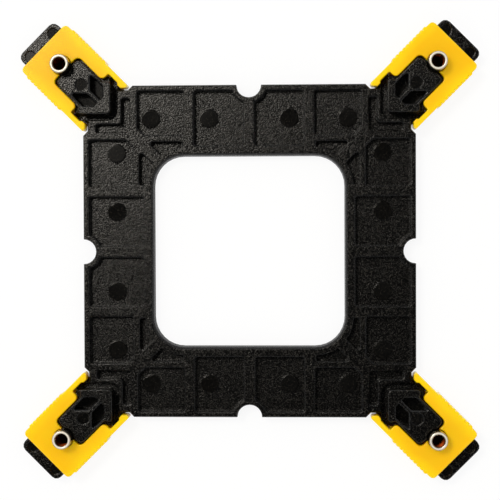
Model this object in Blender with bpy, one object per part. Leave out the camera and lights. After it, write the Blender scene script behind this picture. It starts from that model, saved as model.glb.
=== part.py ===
"""Back plate of a CPU cooler, with four sliding clips that carry threaded inserts.

The plate is one black moulding: a square frame round a window, pocketed on its
board side, with an arm along each diagonal. Each arm has a raised boss that meets
the board, a slot, and teeth along both edges. A yellow clip wraps each arm as a
sleeve, opens round the boss and grips the teeth with two barbed prongs. A nickel
insert with a six-sided head rides in the arm's slot and stands up through the clip.
Clip and insert slide outwards together, one tooth for each board hole pattern.

Lengths are in metres. The plain back lies on z = 0, the board side faces +Z, and
the origin is the middle of the plate. Reach is the distance from the origin along
a diagonal, and an outline drawn along an arm has reach as x and width as y.
"""

import math

import bmesh
import bpy
from mathutils import Vector

MM = 0.001
ROOT2 = math.sqrt(2)

# Board hole patterns that the clips are set to
HOLE_SPACING = 75.0 * MM
SPACING_STEP = 2.5 * MM
POSITIONS = 3

# Plate
PLATE_HEIGHT = 3.4 * MM
SKIN = 1.8 * MM
RIM = 1.05 * MM
BACK_CHAMFER = 0.35 * MM
EDGE_BREAK = 0.15 * MM
DRAFT = math.radians(3)
POCKET_RADIUS = 0.45 * MM

# Window through the plate
WINDOW_SIDE = 38.4 * MM
WINDOW_RADIUS = 6.0 * MM
WINDOW_FLARE = 0.5 * MM
WINDOW_RIM = 1.55 * MM

# Ribs between the pockets
MIDDLE_RIB = 2.2 * MM
SIDE_RIB = 2.0 * MM
SIDE_RIB_REACH = 12.1 * MM
HAUNCH_POCKET = 0.9 * MM
HAUNCH_RIM = 1.25 * MM
HAUNCH_SETBACK = 0.3 * MM
HAUNCH_RIDGE = 1.25 * MM
HAUNCH_RIB = 2.4 * MM
CORNER_RIB = 3.25 * MM

# Notch in the middle of each side
NOTCH_RADIUS = 2.5 * MM
NOTCH_RIM = 1.0 * MM

# Round marks where the moulding was pushed out: raised in the pockets, sunk elsewhere
PAD_RADIUS = 1.85 * MM
PAD_HEIGHT = 0.18 * MM
PAD_FROM_RIM = 5.55 * MM
SIDE_PAD_FROM_WALL = 3.05 * MM
CORNER_PAD_FROM_WALL = 2.7 * MM
END_PIN_RADIUS = 1.2 * MM
END_PIN_SPREAD = 6.5 * MM
END_PIN_FROM_END = 1.75 * MM
PIN_DEPTH = 0.15 * MM

# Corner of the plate, from its edge towards the window
SHOULDER_DROP = 0.95 * MM
SHOULDER_LENGTH = 2.8 * MM
BOSS_INSET = 5.75 * MM
TROUGH = 1.15 * MM
TROUGH_RADIUS = 1.9 * MM
INNER_RIDGE = 0.8 * MM
RECESS = 1.7 * MM
RECESS_RIM = 1.55 * MM
RECESS_RADIUS = 0.6 * MM
OUTER_RIDGE = 1.45 * MM

# Arm
WAIST_TO_INSERT = 11.55 * MM
ARM_WIDTH = 10.3 * MM
ARM_CORNER = 1.3 * MM
ARM_END_WALL = 1.1 * MM
TOOTH_DEPTH = 0.5 * MM
TOOTH_FLOOR = 0.2 * MM
TOOTH_SETBACK = 0.2 * MM
WAIST_TO_TOOTH = 0.35 * MM

# Boss on the arm: an arrow-shaped head that tapers into a tongue
BOSS_PROUD = 0.35 * MM
BOSS_WIDTH = 9.4 * MM
BOSS_SLANT = 0.8 * MM
TONGUE_WIDTH = 6.7 * MM
TONGUE_RADIUS = 1.6 * MM
TONGUE_TO_INSERT = 1.6 * MM
BOSS_CORNER = 0.8 * MM
BOSS_WALL = 1.6 * MM
BOSS_BLUNT = 1.25 * MM
TONGUE_WALL = 0.5 * MM
TONGUE_TAPER = 1.0 * MM
TONGUE_TAPER_DEPTH = 0.22 * MM
BOSS_RIB = 0.85 * MM
BOSS_FLOOR = 0.95 * MM
BOSS_POCKET_BREAK = 0.25 * MM
BOSS_PIN_REACH = 8.2 * MM
BOSS_PIN_RADIUS = 1.3 * MM
BOSS_PIN_WALL = 0.4 * MM

# Ledge at the foot of the arm's neck, which widens under the prongs
LEDGE_HEIGHT = 1.2 * MM
LEDGE_LAP = 0.55 * MM

# Insert
INSERT_RADIUS = 1.88 * MM
INSERT_BORE_RADIUS = 1.25 * MM
INSERT_PROUD = 3.0 * MM
INSERT_CHAMFER = 0.12 * MM
BORE_CHAMFER = 0.12 * MM
HEAD_FLATS = 5.0 * MM
HEAD_HEIGHT = 0.85 * MM

# Clip
CLIP_FLOOR = 1.15 * MM
CLIP_ROOF = 1.3 * MM
CLIP_WALL = 1.15 * MM
CLIP_CORNER = 1.4 * MM
CLIP_PAST_INSERT = 5.2 * MM
CLIP_STAND_OFF = 0.15 * MM
SHOULDER_TO_BOSS = 1.3 * MM
SHOULDER_RADIUS = 1.0 * MM
ARCH_RADIUS = 1.75 * MM
PRONG_TIP_RADIUS = 0.6 * MM
PRONG_PAST_TOOTH = 1.15 * MM
PRONG_RELIEF = 0.1 * MM
GRIP_PITCH = 0.95 * MM
GRIP_DEPTH = 0.25 * MM
GRIP_INSET = 1.4 * MM

# Clearances
SLIDE_GAP = 0.15 * MM
ARCH_GAP = 0.25 * MM
ARCH_END_GAP = 0.5 * MM
INSERT_GAP = 0.1 * MM
HEAD_GAP = 0.15 * MM
SCALLOP_GAP = 0.25 * MM
BARB_GAP = 0.1 * MM
PRONG_TO_SHOULDER = 0.4 * MM
UNDERCUT_GAP = 0.3 * MM

# Cutters run this far past the faces that they cut
OVERRUN = 1.0 * MM
MOUTH = 0.1 * MM

# Positions that follow from the sizes above
REST_REACH = HOLE_SPACING / ROOT2
STEP_REACH = SPACING_STEP / ROOT2
TRAVEL = STEP_REACH * (POSITIONS - 1)
ARM_HALF = ARM_WIDTH / 2
CREST_HALF = ARM_HALF - TOOTH_SETBACK
VALLEY_HALF = CREST_HALF - TOOTH_DEPTH
WAIST_REACH = REST_REACH - WAIST_TO_INSERT
FIRST_TOOTH = WAIST_REACH + WAIST_TO_TOOTH
SHOULDER_LINE = (WAIST_REACH + VALLEY_HALF) / ROOT2
PLATE_HALF = SHOULDER_LINE + SHOULDER_DROP
POCKET_OUTER = PLATE_HALF - RIM
WINDOW_HALF = WINDOW_SIDE / 2
WINDOW_TOP = WINDOW_HALF + WINDOW_FLARE
WINDOW_CENTRE = WINDOW_HALF - WINDOW_RADIUS
POCKET_INNER = WINDOW_TOP + WINDOW_RIM
HAUNCH_OUTER = POCKET_INNER + HAUNCH_POCKET
CORNER_INNER = HAUNCH_OUTER + HAUNCH_RIDGE
BOSS_LINE = PLATE_HALF - BOSS_INSET
TROUGH_LINE = BOSS_LINE - TROUGH
RECESS_OUTER = TROUGH_LINE - INNER_RIDGE
RECESS_INNER = RECESS_OUTER - RECESS
CORNER_OUTER = RECESS_INNER - OUTER_RIDGE
BOSS_REACH = BOSS_LINE * ROOT2
BOSS_SHOULDER = BOSS_REACH + BOSS_WIDTH / 2
TONGUE_END = REST_REACH - TONGUE_TO_INSERT
HEAD_CORNER = HEAD_FLATS / math.sqrt(3)
ARM_END = REST_REACH + TRAVEL + HEAD_CORNER + HEAD_GAP + ARM_END_WALL
CLIP_SHOULDER = BOSS_SHOULDER + SHOULDER_TO_BOSS
CLIP_END = REST_REACH + CLIP_PAST_INSERT
CLIP_HALF = ARM_HALF + SLIDE_GAP + CLIP_WALL
PRONG_TIP = FIRST_TOOTH - PRONG_PAST_TOOTH
ARCH_HALF = TONGUE_WIDTH / 2 + ARCH_GAP
ARCH_END = TONGUE_END + ARCH_END_GAP
FLOOR_TOP = CLIP_STAND_OFF + CLIP_FLOOR
ARM_UNDERSIDE = FLOOR_TOP + SLIDE_GAP
ROOF_BOTTOM = PLATE_HEIGHT + SLIDE_GAP
CLIP_TOP = ROOF_BOTTOM + CLIP_ROOF
BOSS_HEIGHT = CLIP_TOP + BOSS_PROUD
PRONG_WALL = ARM_HALF + SLIDE_GAP + PRONG_RELIEF
LEDGE_HALF = PRONG_WALL - SLIDE_GAP
LEDGE_WIDE_HALF = PRONG_WALL + LEDGE_LAP
LEDGE_END = CLIP_SHOULDER - UNDERCUT_GAP
HEAD_BOTTOM = FLOOR_TOP + HEAD_GAP
HEAD_TOP = HEAD_BOTTOM + HEAD_HEIGHT
INSERT_TOP = CLIP_TOP + INSERT_PROUD

# Corner of the plate that each arm leaves, and its angle from +X
CORNERS = {"back_right": 45, "back_left": 135, "front_left": 225, "front_right": 315}


def arc(centre, radius, start, end, steps):
    """Points of an arc about centre, from start to end in radians, both ends included."""
    angles = [start + (end - start) * step / steps for step in range(steps + 1)]
    return [Vector((centre[0] + radius * math.cos(a), centre[1] + radius * math.sin(a))) for a in angles]


def circle(centre, radius, steps):
    """Closed round outline about centre."""
    return arc(centre, radius, 0, 2 * math.pi, steps)[:-1]


def trace(corners, steps=2):
    """Closed outline through (x, y, radius) corners, each rounded by its own radius."""
    outline = []
    for index, (x, y, radius) in enumerate(corners):
        corner = Vector((x, y))
        before = Vector(corners[index - 1][:2]) - corner
        after = Vector(corners[(index + 1) % len(corners)][:2]) - corner
        opening = before.angle(after)
        if radius <= 0 or opening > math.radians(175):
            outline.append(corner)
            continue
        room = 0.48 * min(before.length, after.length)
        back = min(radius / math.tan(opening / 2), room)
        radius = back * math.tan(opening / 2)
        middle = (before.normalized() + after.normalized()).normalized()
        centre = corner + middle * radius / math.sin(opening / 2)
        first = corner + before.normalized() * back - centre
        last = corner + after.normalized() * back - centre
        turn = first.angle_signed(last)
        start = math.atan2(first.y, first.x)
        outline += arc(centre, radius, start, start - turn, steps)
    return outline


def signed_area(outline):
    """Area of a closed outline, positive where it runs anticlockwise."""
    pairs = zip(outline, outline[1:] + outline[:1])
    return sum(a.x * b.y - b.x * a.y for a, b in pairs) / 2


def grown(outline, distance):
    """An anticlockwise outline moved outwards by distance, or inwards where it is negative."""
    moved = []
    for index, point in enumerate(outline):
        before = (point - outline[index - 1]).normalized()
        after = (outline[(index + 1) % len(outline)] - point).normalized()
        normal_before = Vector((before.y, -before.x))
        normal_after = Vector((after.y, -after.x))
        reach = distance / (1 + normal_before.dot(normal_after))
        moved.append(point + (normal_before + normal_after) * reach)
    return moved


def clipped(outline, normal, limit):
    """The part of a convex outline where its distance along normal is at least limit."""
    kept = []
    for index, point in enumerate(outline):
        previous = outline[index - 1]
        here = point.dot(normal) - limit
        there = previous.dot(normal) - limit
        if here * there < 0:
            kept.append(previous.lerp(point, there / (there - here)))
        if here >= 0:
            kept.append(point)
    return kept


def turned(outline, angle):
    """An outline turned about the origin, which also takes an arm's outline to its diagonal."""
    cos, sin = math.cos(angle), math.sin(angle)
    return [Vector((p.x * cos - p.y * sin, p.x * sin + p.y * cos)) for p in outline]


def mirrored(outline):
    """An outline mirrored across its own x axis, still anticlockwise."""
    return [Vector((p.x, -p.y)) for p in reversed(outline)]


def around(outline):
    """An outline repeated at the four corners."""
    return [turned(outline, math.radians(90 * quarter)) for quarter in range(4)]


def both_hands(outline):
    """An outline of half a corner, drawn between +Y and the diagonal, at all eight places."""
    other_hand = [Vector((-p.x, p.y)) for p in reversed(outline)]
    return around(outline) + around(other_hand)


def add_rings(mesh, rings):
    """Add to a bmesh the closed solid through (z, outline) rings of equal length."""
    if signed_area(rings[0][1]) < 0:
        rings = [(z, list(reversed(outline))) for z, outline in rings]
    loops = [[mesh.verts.new((p.x, p.y, z)) for p in outline] for z, outline in rings]
    mesh.faces.new(list(reversed(loops[0])))
    mesh.faces.new(loops[-1])
    for low, high in zip(loops, loops[1:]):
        for index in range(len(low)):
            mesh.faces.new((low[index - 1], low[index], high[index], high[index - 1]))


def solid(name, stacks):
    """A mesh object made of one closed solid for each stack of (z, outline) rings."""
    mesh = bmesh.new()
    for rings in stacks:
        add_rings(mesh, rings)
    data = bpy.data.meshes.new(name)
    mesh.to_mesh(data)
    mesh.free()
    thing = bpy.data.objects.new(name, data)
    bpy.context.scene.collection.objects.link(thing)
    return thing


def straight(outline, low, high):
    """Rings of a plain upright solid."""
    return [(low, outline), (high, outline)]


def edged(outline, low, high, low_chamfer, high_chamfer):
    """Rings of an upright solid with its lower and upper edges chamfered."""
    rings = [(low, grown(outline, -low_chamfer))]
    if low_chamfer:
        rings.append((low + low_chamfer, outline))
    return rings + [(high - high_chamfer, outline), (high, grown(outline, -high_chamfer))]


def pocket(outline, floor, top, edge_break=EDGE_BREAK):
    """Rings of a pocket's cutter: drafted walls and a broken edge at its mouth."""
    taper = (top - floor) * math.tan(DRAFT)
    return [
        (floor, grown(outline, -taper)),
        (top - edge_break, outline),
        (top + MOUTH, grown(outline, edge_break + MOUTH)),
    ]


def combine(target, tool, operation):
    """Cut or join a tool solid with the target, and keep only the result."""
    change = target.modifiers.new(tool.name, "BOOLEAN")
    change.operation = operation
    change.solver = "EXACT"
    change.object = tool
    view = bpy.context.evaluated_depsgraph_get()
    result = bpy.data.meshes.new_from_object(target.evaluated_get(view))
    target.modifiers.clear()
    old = target.data
    target.data = result
    result.name = target.name
    bpy.data.meshes.remove(old)
    bpy.data.meshes.remove(tool.data)


def plastic(name, colour, roughness):
    """A moulded plastic."""
    return finish(name, colour, roughness, 0.0)


def finish(name, colour, roughness, metallic):
    """A Principled material in the part's colour."""
    material = bpy.data.materials.new(name)
    material.use_nodes = True
    shader = material.node_tree.nodes["Principled BSDF"]
    shader.inputs["Base Color"].default_value = (*colour, 1)
    shader.inputs["Roughness"].default_value = roughness
    shader.inputs["Metallic"].default_value = metallic
    material.diffuse_color = (*colour, 1)
    return material


def plate_outline():
    """Outline of the plate with its notches, shoulders, toothed waists and arms."""
    half = [(p.x, p.y, 0) for p in arc((PLATE_HALF, 0), NOTCH_RADIUS, math.pi, math.pi / 2, 6)]
    shoulder_start = (WAIST_REACH - VALLEY_HALF) / ROOT2 - SHOULDER_LENGTH
    half.append((PLATE_HALF, shoulder_start, 0))
    half.append((SHOULDER_LINE, shoulder_start + SHOULDER_DROP, 0))
    for reach, width, radius in arm_edge():
        corner = turned([Vector((reach, -width))], math.pi / 4)[0]
        half.append((corner.x, corner.y, radius))
    other_half = [(y, x, radius) for x, y, radius in reversed(half)]
    quarter = half + other_half[:-1]
    corners = []
    for turn in range(4):
        cos, sin = (1, 0, -1, 0)[turn], (0, 1, 0, -1)[turn]
        corners += [(x * cos - y * sin, x * sin + y * cos, radius) for x, y, radius in quarter]
    return trace(corners, steps=3)


def arm_edge():
    """Corners along one edge of an arm, from its waist to its end."""
    corners = [(WAIST_REACH, VALLEY_HALF, 0)]
    for position in range(POSITIONS):
        valley = FIRST_TOOTH + position * STEP_REACH
        rise = CREST_HALF if position < POSITIONS - 1 else ARM_HALF
        if position:
            corners.append((valley - TOOTH_FLOOR / 2 - TOOTH_DEPTH, CREST_HALF, 0))
            corners.append((valley - TOOTH_FLOOR / 2, VALLEY_HALF, 0))
        corners.append((valley + TOOTH_FLOOR / 2, VALLEY_HALF, 0))
        corners.append((valley + TOOTH_FLOOR / 2 + rise - VALLEY_HALF, rise, 0))
    corners.append((ARM_END, ARM_HALF, ARM_CORNER))
    return corners


def window_rings():
    """Cutter of the window: it widens towards the board side and has a broken edge at the back."""
    side = WINDOW_HALF
    corners = [(side, -side, 0), (side, side, 0), (-side, side, 0), (-side, -side, 0)]
    outline = trace([(x, y, WINDOW_RADIUS) for x, y, _ in corners], steps=8)
    return [
        (-OVERRUN, grown(outline, EDGE_BREAK + OVERRUN)),
        (EDGE_BREAK, outline),
        (PLATE_HEIGHT - 2 * WINDOW_FLARE, grown(outline, WINDOW_FLARE / 3)),
        (PLATE_HEIGHT, grown(outline, WINDOW_FLARE)),
        (PLATE_HEIGHT + OVERRUN, grown(outline, WINDOW_FLARE + OVERRUN / 2)),
    ]


def side_pocket():
    """Pocket between the middle rib and a side rib, cut back round the notch."""
    left, right = MIDDLE_RIB / 2, SIDE_RIB_REACH - SIDE_RIB / 2
    reach = NOTCH_RADIUS + NOTCH_RIM
    start = math.asin(-RIM / reach)
    end = -math.acos(left / reach)
    rim = [(p.x, p.y, 0) for p in arc((0, PLATE_HALF), reach, start, end, 5)]
    return trace([
        (left, POCKET_INNER, POCKET_RADIUS),
        (right, POCKET_INNER, POCKET_RADIUS),
        (right, POCKET_OUTER, POCKET_RADIUS),
        *rim,
    ])


def corner_pocket():
    """Pocket between a side rib and the corner, cut back along the diagonal rib."""
    left, right = SIDE_RIB_REACH + SIDE_RIB / 2, CORNER_OUTER
    square = [
        Vector((left, CORNER_INNER)),
        Vector((right, CORNER_INNER)),
        Vector((right, POCKET_OUTER)),
        Vector((left, POCKET_OUTER)),
    ]
    across = Vector((-1, 1)) / ROOT2
    return trace([(p.x, p.y, POCKET_RADIUS) for p in clipped(square, across, CORNER_RIB / 2)])


def haunch_pocket():
    """Three-sided pocket between the window's rounded corner, a ridge and the diagonal rib."""
    left = max(SIDE_RIB_REACH + SIDE_RIB / 2 + HAUNCH_SETBACK, WINDOW_CENTRE)
    radius = WINDOW_TOP + HAUNCH_RIM - WINDOW_CENTRE
    offset = HAUNCH_RIB / ROOT2
    across = (math.sqrt(2 * radius ** 2 - offset ** 2) - offset) / 2
    start = math.acos((left - WINDOW_CENTRE) / radius)
    end = math.acos(across / radius)
    curve = arc((WINDOW_CENTRE, WINDOW_CENTRE), radius, start, end, 6)
    return trace([
        (HAUNCH_OUTER - offset, HAUNCH_OUTER, POCKET_RADIUS),
        (left, HAUNCH_OUTER, POCKET_RADIUS),
        *[(p.x, p.y, 0) for p in curve],
    ])


def corner_recess():
    """L-shaped recess that follows the trough, drawn at the corner on the diagonal."""
    inner, outer, end = RECESS_INNER, RECESS_OUTER, SHOULDER_LINE - RECESS_RIM
    return trace([
        (inner, inner, RECESS_RADIUS),
        (end, inner, POCKET_RADIUS),
        (end, outer, POCKET_RADIUS),
        (outer, outer, RECESS_RADIUS),
        (outer, end, POCKET_RADIUS),
        (inner, end, POCKET_RADIUS),
    ])


def corner_trough():
    """Trough at the foot of the boss, open at both edges of the waist."""
    inner, outer, end = TROUGH_LINE, BOSS_LINE + EDGE_BREAK, PLATE_HALF + OVERRUN * 3
    return trace([
        (inner, inner, TROUGH_RADIUS),
        (end, inner, 0),
        (end, outer, 0),
        (outer, outer, BOSS_CORNER),
        (outer, end, 0),
        (inner, end, 0),
    ], steps=4)


def pad_centres():
    """Centres of the pads in the side and corner pockets of half a corner."""
    height = POCKET_OUTER - PAD_FROM_RIM
    side_wall = SIDE_RIB_REACH - SIDE_RIB / 2
    return [(side_wall - SIDE_PAD_FROM_WALL, height), (CORNER_OUTER - CORNER_PAD_FROM_WALL, height)]


def boss_outline():
    """Arrow-shaped head with its point towards the plate, and the tongue's scalloped end."""
    scallop = INSERT_RADIUS + SCALLOP_GAP
    spread = math.acos(TONGUE_TO_INSERT / scallop)
    bite = [(p.x, p.y, 0) for p in arc((REST_REACH, 0), scallop, math.pi + spread, math.pi - spread, 6)]
    tongue = TONGUE_WIDTH / 2
    root = BOSS_SHOULDER + BOSS_SLANT
    return trace([
        (BOSS_REACH, 0, BOSS_CORNER),
        (BOSS_SHOULDER, -BOSS_WIDTH / 2, BOSS_CORNER),
        (root, -tongue, 3 * EDGE_BREAK),
        (TONGUE_END, -tongue, TONGUE_RADIUS),
        *bite,
        (TONGUE_END, tongue, TONGUE_RADIUS),
        (root, tongue, 3 * EDGE_BREAK),
        (BOSS_SHOULDER, BOSS_WIDTH / 2, BOSS_CORNER),
    ], steps=3)


def boss_pocket():
    """Pocket in one half of the boss, between its rib, its slanting wall and the pin's wall."""
    rib = BOSS_RIB / 2
    side = TONGUE_WIDTH / 2 - TONGUE_WALL
    start = BOSS_REACH + BOSS_WALL * ROOT2
    pin = BOSS_REACH + BOSS_PIN_REACH
    half = [
        Vector((start + BOSS_BLUNT, rib)),
        Vector((pin, rib)),
        Vector((pin, side - TONGUE_TAPER_DEPTH)),
        Vector((pin - TONGUE_TAPER, side)),
        Vector((start + side, side)),
        Vector((start + BOSS_BLUNT, BOSS_BLUNT)),
    ]
    away_from_pin = Vector((-1, 1)) / ROOT2
    return clipped(half, away_from_pin, BOSS_PIN_RADIUS + BOSS_PIN_WALL - pin / ROOT2)


def stadium(start, end, radius, steps):
    """Round-ended slot along an arm."""
    far = arc((end, 0), radius, -math.pi / 2, math.pi / 2, steps)
    near = arc((start, 0), radius, math.pi / 2, 3 * math.pi / 2, steps)
    return far + near


def bar(start, end, half):
    """Rectangle along an arm."""
    return [Vector(p) for p in ((start, -half), (end, -half), (end, half), (start, half))]


def ledge_outline():
    """The ledge's outline: as wide as the gap between the prongs, then out under both of them."""
    narrow, wide = LEDGE_HALF, LEDGE_WIDE_HALF
    lower = [
        Vector((WAIST_REACH - 2 * OVERRUN, -narrow)),
        Vector((FIRST_TOOTH, -narrow)),
        Vector((FIRST_TOOTH + wide - narrow, -wide)),
        Vector((LEDGE_END + OVERRUN, -wide)),
    ]
    return lower + mirrored(lower)


def on_arms(outlines):
    """Outlines drawn along an arm, placed on all four."""
    placed = []
    for angle in CORNERS.values():
        placed += [turned(outline, math.radians(angle)) for outline in outlines]
    return placed


def build_plate():
    """The plate: pocketed, with bosses and pads raised on it and the arms slotted."""
    plate = solid("backplate", [edged(plate_outline(), 0, PLATE_HEIGHT, BACK_CHAMFER, EDGE_BREAK)])

    hollows = both_hands(side_pocket()) + both_hands(corner_pocket()) + both_hands(haunch_pocket())
    hollows += around(corner_recess()) + around(corner_trough())
    stacks = [pocket(outline, SKIN, PLATE_HEIGHT) for outline in hollows]
    combine(plate, solid("pockets", stacks + [window_rings()]), "DIFFERENCE")

    root = (ARM_UNDERSIDE + SKIN) / 2
    stacks = [edged(outline, root, BOSS_HEIGHT, 0, EDGE_BREAK) for outline in on_arms([boss_outline()])]
    for centre in pad_centres():
        for outline in both_hands(circle(centre, PAD_RADIUS, 16)):
            stacks.append(straight(outline, SKIN / 2, SKIN + PAD_HEIGHT))
    combine(plate, solid("raised", stacks), "UNION")

    ledges = on_arms([ledge_outline()])
    stacks = [edged(outline, 0, LEDGE_HEIGHT, BACK_CHAMFER, EDGE_BREAK) for outline in ledges]
    combine(plate, solid("ledges", stacks), "UNION")

    half = boss_pocket()
    floor = ARM_UNDERSIDE + BOSS_FLOOR
    stacks = []
    for outline in on_arms([half, mirrored(half)]):
        stacks.append(pocket(outline, floor, BOSS_HEIGHT, BOSS_POCKET_BREAK))
    pin = circle((BOSS_REACH + BOSS_PIN_REACH, 0), BOSS_PIN_RADIUS, 16)
    for outline in on_arms([pin]):
        stacks.append(straight(outline, BOSS_HEIGHT - PIN_DEPTH, BOSS_HEIGHT + OVERRUN))
    pin = circle((ARM_END - END_PIN_FROM_END, END_PIN_SPREAD / 2), END_PIN_RADIUS, 12)
    for outline in on_arms([pin, mirrored(pin)]):
        stacks.append(straight(outline, PLATE_HEIGHT - PIN_DEPTH, PLATE_HEIGHT + OVERRUN))
    under = bar(LEDGE_END, ARM_END + OVERRUN, CLIP_HALF)
    for outline in on_arms([under]):
        stacks.append(straight(outline, -OVERRUN, ARM_UNDERSIDE))
    combine(plate, solid("undersides", stacks), "DIFFERENCE")

    reach = HEAD_CORNER + HEAD_GAP
    wide = bar(REST_REACH - reach, REST_REACH + TRAVEL + reach, HEAD_FLATS / 2 + HEAD_GAP)
    stacks = [straight(outline, 0, HEAD_TOP + HEAD_GAP) for outline in on_arms([wide])]
    combine(plate, solid("head_slots", stacks), "DIFFERENCE")

    narrow = stadium(REST_REACH, REST_REACH + TRAVEL, INSERT_RADIUS + INSERT_GAP, 10)
    stacks = [straight(outline, 0, BOSS_HEIGHT + OVERRUN) for outline in on_arms([narrow])]
    combine(plate, solid("shank_slots", stacks), "DIFFERENCE")
    return plate


def grip_side():
    """Corners of the ridges along one side of a clip, from the plate outwards."""
    start, end = CLIP_SHOULDER + GRIP_INSET, CLIP_END - CLIP_CORNER
    count = int((end - start) / GRIP_PITCH)
    first = (start + end - count * GRIP_PITCH) / 2
    corners = []
    for ridge in range(count):
        root = first + ridge * GRIP_PITCH
        corners.append((root, CLIP_HALF))
        corners.append((root + GRIP_PITCH * 0.25, CLIP_HALF + GRIP_DEPTH))
        corners.append((root + GRIP_PITCH * 0.75, CLIP_HALF + GRIP_DEPTH))
    corners.append((first + count * GRIP_PITCH, CLIP_HALF))
    return corners


def throat_side():
    """Corners down one side of a clip's throat: barb, prong, shoulder and arch."""
    wall = PRONG_WALL
    barb = CREST_HALF + BARB_GAP
    ramp = SHOULDER_LINE * ROOT2 + PRONG_TO_SHOULDER * ROOT2
    barb_start = ramp - barb
    barb_end = max(2 * FIRST_TOOTH - barb_start, barb_start + TOOTH_FLOOR)
    keyhole = INSERT_RADIUS + INSERT_GAP
    spread = math.acos((REST_REACH - ARCH_END) / keyhole)
    rim = arc((REST_REACH, 0), keyhole, -math.pi + spread, 0, 8)
    return [
        (PRONG_TIP, -(ramp - PRONG_TIP), 0),
        (barb_start, -barb, 0),
        (barb_end, -barb, 0),
        (barb_end + wall - barb, -wall, 0),
        (CLIP_SHOULDER, -wall, 2 * EDGE_BREAK),
        (CLIP_SHOULDER, -ARCH_HALF, SHOULDER_RADIUS),
        (ARCH_END, -ARCH_HALF, ARCH_RADIUS),
        *[(p.x, p.y, 0) for p in rim[:-1]],
    ]


def clip_outline():
    """Outline of a clip seen from the board: prongs, grips, square end and the throat."""
    throat = throat_side()
    side = [(PRONG_TIP, CLIP_HALF, PRONG_TIP_RADIUS)]
    side += [(x, y, 0) for x, y in grip_side()]
    side += [(CLIP_END, CLIP_HALF, CLIP_CORNER)]
    lower = [(x, -y, radius) for x, y, radius in side]
    upper = list(reversed(side))
    keyhole_end = [(REST_REACH + INSERT_RADIUS + INSERT_GAP, 0, 0)]
    inside = [(x, -y, radius) for x, y, radius in throat] + keyhole_end + list(reversed(throat))
    return trace(lower + upper + inside, steps=3)


def shifted(outline, distance):
    """An outline moved along x."""
    return [Vector((p.x + distance, p.y)) for p in outline]


def build_clip_mesh():
    """One clip, drawn along +X with its origin on the insert's axis."""
    outline = shifted(clip_outline(), -REST_REACH)
    clip = solid("clip", [edged(outline, CLIP_STAND_OFF, CLIP_TOP, EDGE_BREAK, EDGE_BREAK)])

    start, end = CLIP_SHOULDER - REST_REACH, CLIP_END - REST_REACH
    inside = CLIP_HALF - CLIP_WALL / 2
    floor = bar(start, end - CLIP_CORNER / 2, inside)
    combine(clip, solid("floor", [straight(floor, CLIP_STAND_OFF, ARM_UNDERSIDE)]), "UNION")

    channel = bar(start - OVERRUN, end + OVERRUN, ARM_HALF + SLIDE_GAP)
    combine(clip, solid("channel", [straight(channel, FLOOR_TOP, ROOF_BOTTOM)]), "DIFFERENCE")

    room_end = LEDGE_END + SLIDE_GAP - REST_REACH
    room = bar(PRONG_TIP - REST_REACH - OVERRUN, room_end, CLIP_HALF + OVERRUN)
    rings = straight(room, CLIP_STAND_OFF - OVERRUN, LEDGE_HEIGHT + SLIDE_GAP)
    combine(clip, solid("ledge_room", [rings]), "DIFFERENCE")
    return clip


def build_insert_mesh():
    """One insert, with its origin on its axis: round shank, six-sided head, open bore."""
    shank = circle((0, 0), INSERT_RADIUS, 32)
    insert = solid("insert", [edged(shank, HEAD_BOTTOM + EDGE_BREAK, INSERT_TOP, 0, INSERT_CHAMFER)])
    head = circle((0, 0), HEAD_CORNER, 6)
    combine(insert, solid("head", [edged(head, HEAD_BOTTOM, HEAD_TOP, EDGE_BREAK, EDGE_BREAK)]), "UNION")

    bore = circle((0, 0), INSERT_BORE_RADIUS, 24)
    rings = [
        (HEAD_BOTTOM - OVERRUN, grown(bore, BORE_CHAMFER + OVERRUN)),
        (HEAD_BOTTOM + BORE_CHAMFER, bore),
        (INSERT_TOP - BORE_CHAMFER, bore),
        (INSERT_TOP + MOUTH, grown(bore, BORE_CHAMFER + MOUTH)),
    ]
    combine(insert, solid("bore", [rings]), "DIFFERENCE")
    return insert


def shade(thing, sharp_angle):
    """Smooth shading with every edge sharper than the angle left crisp."""
    thing.data.shade_smooth()
    thing.data.set_sharp_from_angle(angle=math.radians(sharp_angle))


def place_copies(pattern, kind, material):
    """Four copies of a piece, each with its origin on the line that it slides along."""
    copies = {}
    pattern.data.materials.clear()
    pattern.data.materials.append(material)
    shade(pattern, 30)
    for corner, angle in CORNERS.items():
        copy = bpy.data.objects.new(f"{kind}_{corner}", pattern.data)
        copy.location = (*turned([Vector((REST_REACH, 0))], math.radians(angle))[0], 0)
        copy.rotation_euler.z = math.radians(angle)
        bpy.context.scene.collection.objects.link(copy)
        copies[corner] = copy
    bpy.data.objects.remove(pattern)
    return copies


def main():
    for thing in list(bpy.data.objects):
        bpy.data.objects.remove(thing)

    plate = build_plate()
    plate.data.materials.clear()
    plate.data.materials.append(plastic("black_glass_filled_nylon", (0.013, 0.013, 0.012), 0.55))
    shade(plate, 30)

    yellow = plastic("yellow_acetal", (1.0, 0.60, 0.012), 0.42)
    nickel = finish("nickel_plate", (0.75, 0.71, 0.65), 0.18, 1.0)
    clips = place_copies(build_clip_mesh(), "clip", yellow)
    inserts = place_copies(build_insert_mesh(), "insert", nickel)
    bpy.context.view_layer.update()
    for corner, insert in inserts.items():
        world = insert.matrix_world.copy()
        insert.parent = clips[corner]
        insert.matrix_parent_inverse = clips[corner].matrix_world.inverted()
        insert.matrix_world = world
        clips[corner].parent = plate


main()
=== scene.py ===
"""Looks of the CPU cooler back plate: its finishes, its threaded inserts and the studio."""

import math

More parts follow.
